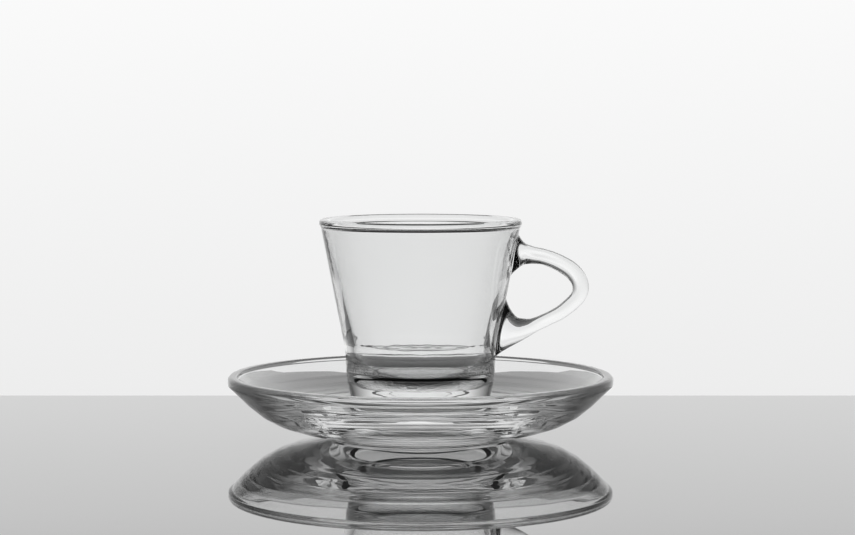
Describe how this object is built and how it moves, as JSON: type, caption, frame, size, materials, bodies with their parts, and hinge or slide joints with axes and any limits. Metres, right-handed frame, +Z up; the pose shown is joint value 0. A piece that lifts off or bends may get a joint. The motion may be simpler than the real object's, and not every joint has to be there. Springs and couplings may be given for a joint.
{
  "type": "espresso cup and saucer",
  "caption": "Clear glass espresso cup with a tapering wall, beaded rim and loop handle, standing on a shallow round glass saucer with a thick rounded edge.",
  "frame": {"origin": "on the table, at the centre of the ring foot of the saucer", "axes": "+Z up along the common axis of cup and saucer, +X towards the handle, -Y towards the viewer"},
  "size_m": [0.12, 0.12, 0.068],
  "materials": {
    "cup_glass": "clear, fire-polished",
    "saucer_glass": "clear, fire-polished"
  },
  "bodies": {
    "root": {"cup": "cup_glass", "saucer": "saucer_glass"}
  },
  "joints": []
}
